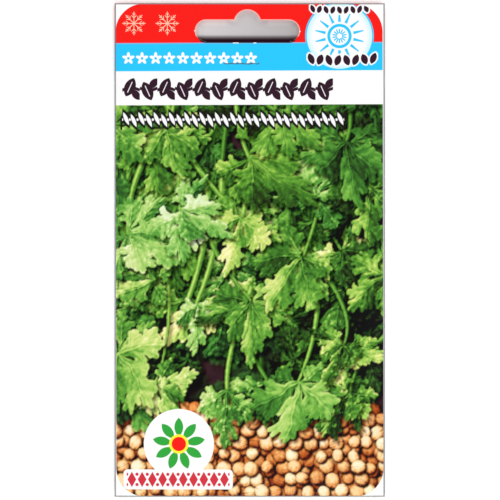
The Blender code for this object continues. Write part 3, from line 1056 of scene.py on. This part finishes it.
FLOWER_BADGE = 10.8
PLATE = (-39.0, -73.8, -5.3, -67.6)
LOZENGES = (-38.0, -6.3)
LOZENGE_Y = -70.7
LOZENGE_PITCH = 3.17
RIM_HIGHLIGHT_FROM_Y = 65.9
LIP_SHADOW_DROP = 1.8
LIP_SHADOW_WIDTH = 0.62
BURR_HALF_HEIGHT = 0.13
BACK_FRAMES = ((-33.0, 8.0, 35.0, 50.0), (-33.0, -30.0, 35.0, 3.0))
BACK_GRID = (-31.0, -27.5, 32.0, 0.5)
BACK_LEAVES = (-30.0, 11.0, 30.8, 47.0)
BARE = 2
SHARPENING = 1.2

# A row of leaves by the sun: its ends, its height and pitch, and a leaf's half length and half width
LEAF_ROWS = ((18.3, 36.9, 74.0, 2.067, 1.25, 0.72), (17.5, 39.4, 58.5, 2.738, 1.75, 1.02))

# A torn fibre at the slot: its middle and its half width
BURRS = ((-16.95, 67.6, 0.28), (15.35, 67.4, 0.28), (-4.4, 63.86, 0.9), (1.5, 63.86, 0.5))


class Print(Finish):
    """A printed finish that is built up by laying flat shapes one over the other."""

    def __init__(self, name):
        super().__init__(name, roughness=0.42, specular=0.10)
        self.laid = self.mix(WHITE, WHITE, 0.0)

    def lay(self, distance, colour, soft=SOFT):
        """Lays a shape down where the distance to its outline is below nothing."""
        self.laid = self.mix(self.laid, colour, (0.5 - distance * (1 / soft)).clamped())

    def end(self):
        """Makes what was laid the finish's colour, over the paper's fine grain."""
        self.colour(self.laid)
        self.relief(self.noise(0.35, 3.0), 0.006)

    def box(self, left, low, right, high, radius, lean=0.0):
        """A box with rounded corners, moved to the right by lean for each millimetre below its top."""
        middle = (high - self.y) * lean + (left + right) / 2
        across = abs(self.x - middle) - ((right - left) / 2 - radius)
        along = abs(self.y - (low + high) / 2) - ((high - low) / 2 - radius)
        return diagonal(across.most(0), along.most(0)) + across.most(along).least(0) - radius

    def disc(self, centre, radius):
        return diagonal(self.x - centre[0], self.y - centre[1]) - radius

    def outside(self, left, right):
        """How far a place lies outside of a row from left to right."""
        return (self.x - right).most(left - self.x)

    def around(self, centre, count):
        """The place on one of several like rays round a centre: across it, and out from the centre."""
        x, y = self.x - centre[0], self.y - centre[1]
        reach = diagonal(x, y)
        angle = x.maths("ARCTAN2", y)
        step = 2 * math.pi / count
        local = angle - (angle * (1 / step)).maths("ROUND") * step
        return reach * local.maths("SINE"), reach * local.maths("COSINE")


def turned(across, along, angle):
    turn = math.radians(angle)
    return (across * math.cos(turn) + along * math.sin(turn),
            along * math.cos(turn) - across * math.sin(turn))


def repeated(value, start, pitch):
    """The place within each repeat of a row, and the number of the repeat."""
    number = ((value - start) * (1 / pitch)).maths("FLOOR")
    return value - start - (number + 0.5) * pitch, number


def by_turns(number):
    """1 for even numbers and -1 for odd ones."""
    return (number * math.pi).maths("COSINE")


def blade(across, along, half_length, half_width):
    """A leaf shape with a point at both ends, lying along the second direction."""
    radius = (half_length ** 2 + half_width ** 2) / (2 * half_width)
    return diagonal(abs(across) + (radius - half_width), along) - radius


front = Print("front_print")
picture = front.node("ShaderNodeAttribute", {"attribute_name": "picture"}).outputs["Color"]
level = front.y - (front.x + HALF_WIDTH) * BAND_SLOPE
front.lay(level - PICTURE_TOP, picture)
front.lay(CYAN_FROM_Y - level, CYAN)
front.lay(RED_FROM_Y - level, RED)
front.lay(abs(level - RED_FROM_Y + 0.2), OVERPRINT, soft=0.5)

# Two plain stars of frost on the red band
for star in STARS:
    across, out = front.around(star, 8)
    arm = (abs(across) - 0.12).most(out - STAR_REACH)
    branch = (abs(out - abs(across) - 1.7) - 0.15).most(abs(across) - 0.75)
    tip = (abs(out - abs(across) - 2.6) - 0.14).most(abs(across) - 0.45)
    front.lay(arm.least(branch).least(tip), FROST)

# A row of small blossoms on the cyan band
in_row, _ = repeated(front.x, BLOSSOMS[0], BLOSSOM_PITCH)
up = front.y - BLOSSOM_Y
reach = diagonal(in_row, up)
petals = (in_row.maths("ARCTAN2", up) * 5).maths("COSINE") * 0.5
blossom = (reach - BLOSSOM_RADIUS - petals).most(0.42 - reach)
front.lay(blossom.most(front.outside(*BLOSSOMS)), WHITE)

# A short dark wavy line below the blossoms
dark_mark = abs(front.y - DARK_MARK_Y + (front.noise(1.6) - 0.5) * 0.8) - 0.16
front.lay(dark_mark.most(front.outside(*DARK_MARK)), DARK_MARK_COLOUR, soft=0.3)

# A bold dark row of upright leaves along a stalk on the white band
in_row, number = repeated(front.x, VINE[0], VINE_PITCH)
up = (front.y - VINE_Y) * by_turns(number)
leaf_x, leaf_y = turned(in_row + 0.35, up - 0.6, -24)
leaf = blade(leaf_x, leaf_y, 3.1, 1.7)
bud = blade(*turned(in_row - 1.55, up + 1.75, 40), 2.0, 1.15)
stalk = abs(up - (in_row * (math.pi / VINE_PITCH)).maths("COSINE") * 0.7 + 0.3) - 0.5
vein = (abs(leaf_x) - 0.12).most(abs(leaf_y) - 1.8)
row_end = front.outside(*VINE)
front.lay(leaf.least(bud).least(stalk).most(row_end), DARK)
front.lay(vein.most(row_end), WHITE)

# A row of slender pale grains with thick dark outlines, over the top of the picture
in_row, number = repeated(front.x, GRAINS[0], GRAIN_PITCH)
up = front.y - GRAIN_Y
slender = blade(*turned(in_row, up - by_turns(number) * 0.3, 24), 2.15, 0.56)
speck = diagonal(abs(in_row) - GRAIN_PITCH / 2, up * 0.9) - 0.34
shapes = slender.least(speck)
row_end = front.outside(*GRAINS)
front.lay((shapes - GRAIN_OUTLINE).most(row_end - 0.6), BLACK, soft=0.35)
front.lay(shapes.most(row_end), WHITE, soft=0.2)

# A white badge at the upper right with a sun, between two short rows of dark leaves
from_sun = front.disc(SUN, 0.0)
for radius, colour, soft in SUN_RINGS:
    front.lay(from_sun - radius, colour, soft)
across, out = front.around(SUN, 14)
rays = (abs(across) - 0.50 + (out - 4.0) * 0.09).most(abs(out - 6.0) - 1.6)
glint = (abs(across) - 0.2).most(abs(out - 1.5) - 0.7)
front.lay(rays.least(abs(from_sun - 3.3) - 0.46).least(glint), CYAN)
bow = (front.x - SUN[0]) * (front.x - SUN[0]) * 0.006
for left, right, height, pitch, half_length, half_width in LEAF_ROWS:
    in_row, number = repeated(front.x, left, pitch)
    leaf = blade(*turned(in_row, (front.y - height - bow) * by_turns(number), 22), half_length, half_width)
    row_end = front.outside(left, right)
    front.lay((leaf - 0.42).most(row_end - 0.12), WHITE)
    front.lay(leaf.most(row_end), DARK)

# A white badge at the lower left with a plain flower, and a white plate with a row of red lozenges below it
from_flower = front.disc(FLOWER, 0.0)
front.lay((from_flower - FLOWER_BADGE).least(front.box(*PLATE, 1.3)), WHITE)
across, out = front.around(FLOWER, 9)
front.lay(blade(across, out - 5.2, 2.9, 1.35), GREEN)
front.lay(from_flower - 3.0, YELLOW)
front.lay(from_flower - 2.2, RED)
in_row, _ = repeated(front.x, LOZENGES[0], LOZENGE_PITCH)
up = abs(front.y - LOZENGE_Y)
lozenge = abs(in_row) * 0.87 + up * 0.49 - 1.18
pip = diagonal(abs(in_row) - LOZENGE_PITCH / 2, up - 1.6) - 0.5
front.lay(lozenge.least(pip).most(front.outside(*LOZENGES)), CRIMSON)

# The slot's edges: a painted highlight in pale red along its upper side and ends, a painted shadow along its
# lower side, with torn white fibres
end_radius = SLOT_HEIGHT / 2
slot_box = front.box(SLOT_SHIFT - SLOT_WIDTH / 2, SLOT_Y - end_radius,
                     SLOT_SHIFT + SLOT_WIDTH / 2, SLOT_Y + end_radius, end_radius)
from_slot = slot_box.least(front.disc((SLOT_SHIFT, HUMP_Y), HUMP_RADIUS))
# A painted highlight where the cut edge along the slot's upper side and ends catches the light
front.lay((from_slot - 0.20).most(RIM_HIGHLIGHT_FROM_Y - front.y), RIM_HIGHLIGHT, soft=0.25)
# A painted shadow in a thin dark band along the slot's lower side, fading out up its ends
lip_shadow = ((SLOT_Y - LIP_SHADOW_DROP - front.y) * 0.7).clamped() * LIP_SHADOW_WIDTH - 0.2
front.lay(from_slot - lip_shadow, LIP_SHADOW_COLOUR, soft=0.15)
for x, y, half_width in BURRS:
    burr = front.box(x - half_width, y - BURR_HALF_HEIGHT, x + half_width, y + BURR_HALF_HEIGHT, 0.1)
    front.lay(burr, WHITE)

# Rounded corners, a narrow bare margin along the right, and a painted shade along the outer edge
inked = front.box(-HALF_WIDTH, -TOP_Y, HALF_WIDTH - MARGIN, TOP_Y, CORNER_RADIUS, MARGIN_LEAN)
front.lay(inked * -1, WHITE)
# A painted shade in a thin grey line along the packet's outer edge, where the folds turn down
from_edge = (HALF_WIDTH - abs(front.x + SHADOW_SHIFT)).least(TOP_Y - abs(front.y))
front.lay(from_edge - EDGE_SHADE_WIDTH, EDGE_SHADE, soft=0.3)
front.end()

# The back: the bands go round to it, and below them are two thin frames, round pale leaves and a grid
back = Print("back_print")
back.lay(CYAN_FROM_Y - back.y, CYAN)
back.lay(RED_FROM_Y - back.y, RED)
for corners in BACK_FRAMES:
    back.lay(abs(back.box(*corners, 1.5)) - 0.15, CYAN)
grid_x, _ = repeated(back.x, BACK_GRID[0], 5.25)
grid_y, _ = repeated(back.y, BACK_GRID[1], 5.6)
cells = (2.55 - abs(grid_x)).least(2.72 - abs(grid_y))
back.lay((cells - 0.14).most(back.box(*BACK_GRID, 0.1)), CYAN)
in_row, _ = repeated(back.x, BACK_LEAVES[0], 7.6)
in_column, _ = repeated(back.y, BACK_LEAVES[1], 9.0)
leaf = blade(*turned(in_row, in_column, 40), 2.9, 1.2)
back.lay(leaf.most(back.box(*BACK_LEAVES, 0.1)), PALE_GREEN)
back.end()

bare_paper = Finish("bare_paper", roughness=0.75, specular=0.2)
paper_tone = bare_paper.noise(0.5, 3.0) * 0.05 + 0.95
bare_paper.colour(bare_paper.mix(PAPER_SHADE, PAPER_WHITE, paper_tone))
bare_paper.relief(bare_paper.noise(0.3, 3.0), 0.01)


def picture_at(places):
    """The picture's colours at places in millimetres, evened out over the gaps between them and sharpened."""
    even_ink = softened(ink, 1)
    light = even_ink.mean(axis=2, keepdims=True) + 0.001
    gain = 1 + SHARPENING * (1 - softened(light, 3) / light)
    sharp_ink = even_ink * np.clip(gain, 0.05, 1 / even_ink.max(axis=2, keepdims=True))
    lines = np.clip(((places[:, 1] + TOP_Y) * DOTS - 0.5).round().astype(int), 0, PICTURE_LINES - 1)
    columns = np.clip(((places[:, 0] + HALF_WIDTH) * DOTS - 0.5).round().astype(int), 0, PICTURE_COLUMNS - 1)
    return np.clip(sharp_ink[lines, columns] * 0.95 - 0.006, 0, 1)


paint_picture()
finishes = [front, back, bare_paper]
sheet = finished(folded_blank(), "blank", finishes)
thickness = sheet.modifiers.new("paper", "SOLIDIFY")
thickness.thickness = PAPER * MM
thickness.offset = 0
thickness.use_even_offset = True
thickness.material_offset = BARE
thickness.material_offset_rim = BARE
punch_bm = slot_punch()
for face in punch_bm.faces:
    face.material_index = BARE
punch = finished(punch_bm, "punch", finishes)
cut = sheet.modifiers.new("slot", "BOOLEAN")
cut.operation = "DIFFERENCE"
cut.solver = "EXACT"
cut.object = punch
sheet_bm = applied(sheet)
bpy.data.objects.remove(punch)
sheet = finished(finely_gridded(sheet_bm), "packet_sheet", finishes)
places = np.empty(len(sheet.data.vertices) * 3, np.float32)
sheet.data.vertices.foreach_get("co", places)
colours = np.ones((len(sheet.data.vertices), 4), np.float32)
colours[:, :3] = picture_at(places.reshape(-1, 3) / MM)
attribute = sheet.data.attributes.new("picture", "FLOAT_COLOR", "POINT")
attribute.data.foreach_set("color", colours.ravel())
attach(sheet, "root")
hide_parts("printed_sheet")

# The glue
# Thin dried films of pale glue that hold the side seam, the bottom flap and the header closed. They stay as
# the solid model has them.

GLUE_DARK = (0.62, 0.58, 0.48)
GLUE_PALE = (0.80, 0.77, 0.68)

dried_glue = Finish("dried_glue", roughness=0.35)
dried_glue.colour(dried_glue.mix(GLUE_DARK, GLUE_PALE, dried_glue.noise(1.5)))
for name in ("side_seam_glue", "bottom_flap_glue", "header_glue"):
    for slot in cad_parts[name].material_slots:
        slot.material = dried_glue.material
